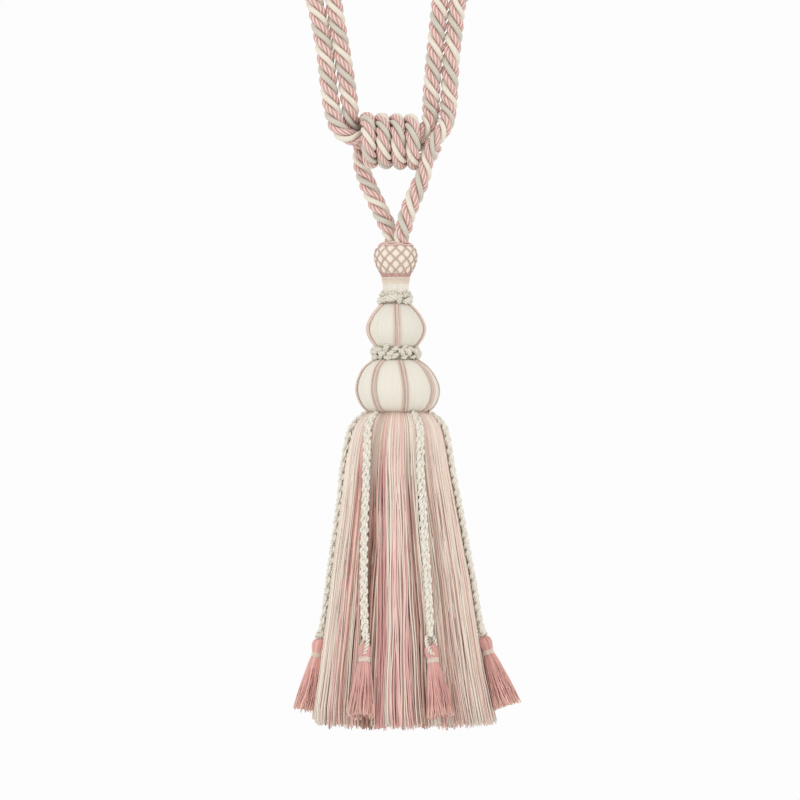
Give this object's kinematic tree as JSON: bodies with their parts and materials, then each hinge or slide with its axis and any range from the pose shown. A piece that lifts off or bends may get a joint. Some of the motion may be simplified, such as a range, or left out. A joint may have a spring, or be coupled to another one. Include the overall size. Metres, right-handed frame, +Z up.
{
  "type": "curtain tieback tassel",
  "caption": "Curtain tieback: a twisted rope knotted round itself, with eyes for a hook, and a tassel of wound bulbs, looped ruffs, a bullion skirt and plaited cords with small tassels.",
  "frame": {"origin": "level with the tops of the two rope eyes, on the tassel's vertical axis", "axes": "+Z up, -Y to the front as seen in the picture, +X to the right"},
  "size_m": [0.1555, 0.1296, 0.5312],
  "materials": {
    "rope": "matte",
    "net": "matte",
    "collar": "matte",
    "thread": "matte",
    "ruff": "matte",
    "rib": "matte",
    "bullion": "matte",
    "plait": "matte",
    "small_tassel": "matte",
    "small_band": "matte"
  },
  "bodies": {
    "root": {"twisted_rope": "rope", "net_ball": "net", "collar": "collar", "neck": "thread", "upper_ruff": "ruff", "upper_bulb": "thread", "lower_ruff": "ruff", "lower_bulb": "thread", "skirt": "bullion", "upper_bulb_rib_1": "rib", "upper_bulb_rib_2": "rib", "upper_bulb_rib_3": "rib", "upper_bulb_rib_4": "rib", "upper_bulb_rib_5": "rib", "lower_bulb_rib_1": "rib", "lower_bulb_rib_2": "rib", "lower_bulb_rib_3": "rib", "lower_bulb_rib_4": "rib", "lower_bulb_rib_5": "rib", "lower_bulb_rib_6": "rib", "lower_bulb_rib_7": "rib", "lower_bulb_rib_8": "rib", "plait_front_left": "plait", "plait_front_right": "plait", "plait_right": "plait", "plait_back_right": "plait", "plait_back_left": "plait", "plait_left": "plait", "small_tassel_front_left": "small_tassel", "small_tassel_front_right": "small_tassel", "small_tassel_right": "small_tassel", "small_tassel_back_right": "small_tassel", "small_tassel_back_left": "small_tassel", "small_tassel_left": "small_tassel", "small_band_front_left": "small_band", "small_band_front_right": "small_band", "small_band_right": "small_band", "small_band_back_right": "small_band", "small_band_back_left": "small_band", "small_band_left": "small_band"}
  },
  "joints": []
}
